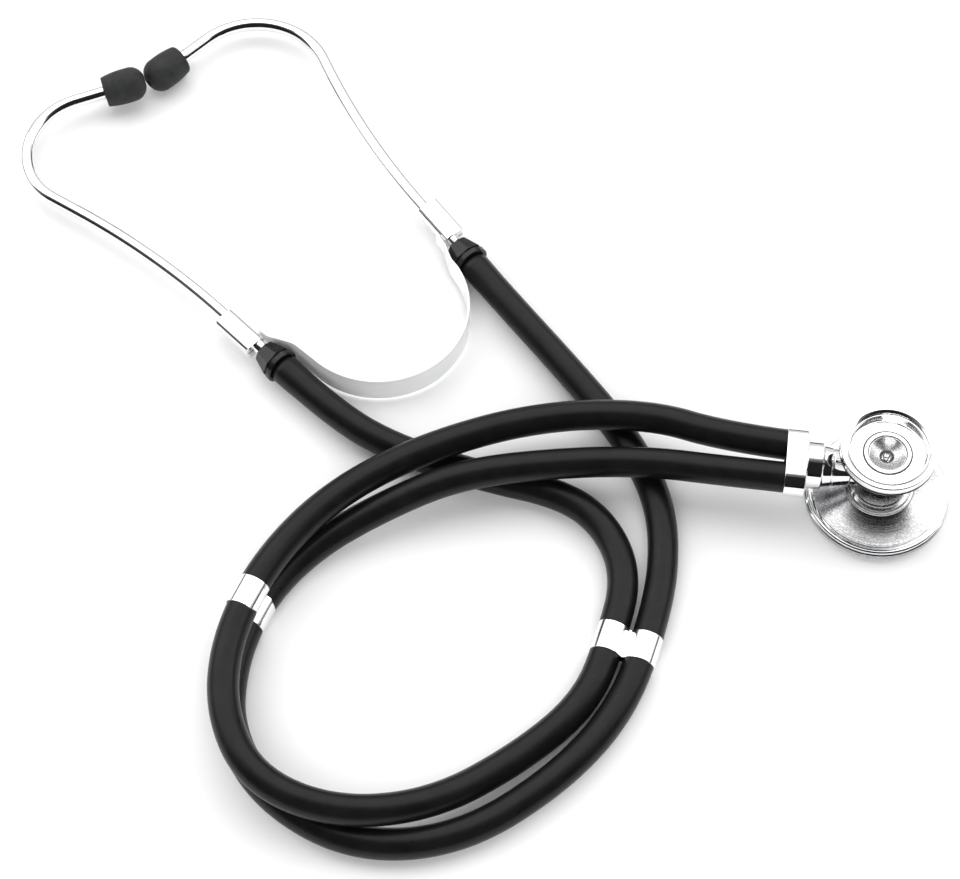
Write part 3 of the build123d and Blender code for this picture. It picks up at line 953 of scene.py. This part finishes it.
class STETHOSCOPE_OT_spring(BuildStep):
    """Bend the leaf spring, half to each arm"""

    bl_idname = "stethoscope.spring"
    bl_label = "Leaf spring"

    def build(self, sizes, colours):
        ahead = Vector((math.cos(HEADSET_HEADING), math.sin(HEADSET_HEADING), 0))
        left = Vector((-ahead.y, ahead.x, 0))
        centre = HEADSET_ORIGIN + ahead * BOW_RADIUS
        for name, arm in ARMS.items():
            side = arm["side"]

            def on_bow(degrees):
                angle = math.radians(degrees)
                outward = ahead * math.cos(angle) + left * side * math.sin(angle)
                return centre + outward * BOW_RADIUS

            bow = [on_bow(180 - 83 * step / 48) for step in range(49)]
            lean = math.radians(7)
            leaning = ahead * math.cos(lean) + left * side * math.sin(lean)
            first = bow[-1] + leaning * arm["leg"] * MM
            mouth, heading, across = arm_frame(name)
            mouth = Vector((mouth.x, mouth.y, 0))
            beside = across * side * SPRING_OFFSET
            corners = [bow[-1], first] + [
                mouth + heading * reach * MM - beside for reach in (2.5, 6.5)]
            leg = rounded_path(corners, [12 * MM if side == 1 else 10 * MM, 10 * MM])
            line = bow + leg[1:]
            piece = add_piece(f"{name}_spring_half", self.strip(line, mouth, heading, sizes),
                              ["spring_strip"])
            even_normals(piece)
            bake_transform(piece)
            if side == 1:
                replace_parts(piece, "leaf_spring")

    def strip(self, line, mouth, heading, sizes):
        """A strip on edge along a line, narrower beside the bracket."""
        hair = 0.00002
        line = [line[0], line[0].lerp(line[1], hair / (line[1] - line[0]).length), *line[1:-1],
                line[-1].lerp(line[-2], hair / (line[-1] - line[-2]).length), line[-1]]
        half = sizes.spring_thickness / 2
        round_edge = half * 0.75
        builder = bmesh.new()
        rings = []
        for index, point in enumerate(line):
            along = heading_at(line, index)
            aside = Vector((-along.y, along.x, 0))
            reach = (point - mouth).dot(heading) / MM
            tall = 5.5 - 2.8 * min(max((reach + 9) / 12, 0), 1)
            tall *= MM
            section = [
                (half, tall - round_edge), (half - round_edge * 0.3, tall - round_edge * 0.3),
                (half - round_edge, tall), (round_edge - half, tall),
                (round_edge * 0.3 - half, tall - round_edge * 0.3), (-half, tall - round_edge)]
            section += [(-x, -z) for x, z in section]
            middle = point + Vector((0, 0, SPRING_MIDDLE))
            rings.append([
                builder.verts.new(middle + aside * x + Vector((0, 0, z))) for x, z in section])
        for ring, following in zip(rings, rings[1:]):
            skin(builder, ring, following)
        builder.faces.new(rings[0])
        builder.faces.new(rings[-1])
        return builder


class STETHOSCOPE_OT_arms(BuildStep):
    """Finish the brackets and the moulded adapters"""

    bl_idname = "stethoscope.arms"
    bl_label = "Brackets and adapters"

    def build(self, sizes, colours):
        for side in ARMS:
            use_finish(f"{side}_bracket", "polished_chrome")
            use_finish(f"{side}_adapter", "moulded_black")


class STETHOSCOPE_OT_ear_tubes(BuildStep):
    """Bend the two ear tubes"""

    bl_idname = "stethoscope.ear_tubes"
    bl_label = "Ear tubes"

    def build(self, sizes, colours):
        for name in ARMS:
            line, _, _ = ear_tube_line(name)
            tube = add_piece(
                f"{name}_bent_tube",
                swept(line, lambda length, whole: sizes.ear_tube_diameter / 2, 48, 0.0017),
                ["polished_chrome"], f"{name}_ear_tube_assembly")
            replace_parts(tube, f"{name}_ear_tube")


class STETHOSCOPE_OT_ear_tips(BuildStep):
    """Mould the soft ear tips"""

    bl_idname = "stethoscope.ear_tips"
    bl_label = "Ear tips"

    def build(self, sizes, colours):
        outline = [(2.45, 0), (4.8, 0), (5.25, 0.12), (5.4, 0.5)]
        outline += through((5.4, 0.5), (6.1, 5.5), (6.1, 9.6), 12)
        outline += through((6.1, 9.6), (4.9, 13.3), (2.7, 14.8), 12)
        outline += [(2.2, 15.0), (1.6, 14.95), (1.4, 14.6), (1.4, 8.4), (2.45, 8.4)]
        for name in ARMS:
            _, base, heading = ear_tube_line(name)
            tip = add_piece(f"{name}_soft_tip", turned(outline, base, heading, 96),
                            ["ear_tip_rubber"], f"{name}_ear_tube_assembly")
            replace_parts(tip, f"{name}_ear_tip")


class STETHOSCOPE_OT_hidden_parts(BuildStep):
    """Finish the fittings inside the hoses, the stem and the ear tips"""

    bl_idname = "stethoscope.hidden_parts"
    bl_label = "Hidden fittings"

    def build(self, sizes, colours):
        use_finish("spindle_clip", "spring_strip")
        for name in ("hose_nipples", "left_ear_tip_bush", "right_ear_tip_bush"):
            use_finish(name, "turned_brass")


# ------------------------------------------------------------------ panel

STEPS = (
    STETHOSCOPE_OT_stage, STETHOSCOPE_OT_finishes, STETHOSCOPE_OT_hoses, STETHOSCOPE_OT_stem,
    STETHOSCOPE_OT_large_head, STETHOSCOPE_OT_drum, STETHOSCOPE_OT_small_head,
    STETHOSCOPE_OT_spring, STETHOSCOPE_OT_arms, STETHOSCOPE_OT_ear_tubes,
    STETHOSCOPE_OT_ear_tips, STETHOSCOPE_OT_hidden_parts,
)


class STETHOSCOPE_PT_build(bpy.types.Panel):
    """Lists the stethoscope's build steps"""

    bl_idname = "STETHOSCOPE_PT_build"
    bl_label = "Stethoscope"
    bl_space_type = "VIEW_3D"
    bl_region_type = "UI"
    bl_category = "Stethoscope"

    def draw(self, context):
        for group in (context.scene.stethoscope_sizes, context.scene.stethoscope_finishes):
            for name in group.bl_rna.properties.keys():
                if name not in ("name", "rna_type"):
                    self.layout.prop(group, name)
        for step in STEPS:
            self.layout.operator(step.bl_idname)


CLASSES = (StethoscopeSizes, StethoscopeFinishes, *STEPS, STETHOSCOPE_PT_build)


def register():
    for cls in CLASSES:
        bpy.utils.register_class(cls)
    bpy.types.Scene.stethoscope_sizes = bpy.props.PointerProperty(type=StethoscopeSizes)
    bpy.types.Scene.stethoscope_finishes = bpy.props.PointerProperty(type=StethoscopeFinishes)


def unregister():
    del bpy.types.Scene.stethoscope_finishes
    del bpy.types.Scene.stethoscope_sizes
    for cls in reversed(CLASSES):
        bpy.utils.unregister_class(cls)


def main():
    register()
    for step in STEPS:
        group, name = step.bl_idname.split(".")
        getattr(getattr(bpy.ops, group), name)()


if __name__ == "__main__":
    main()
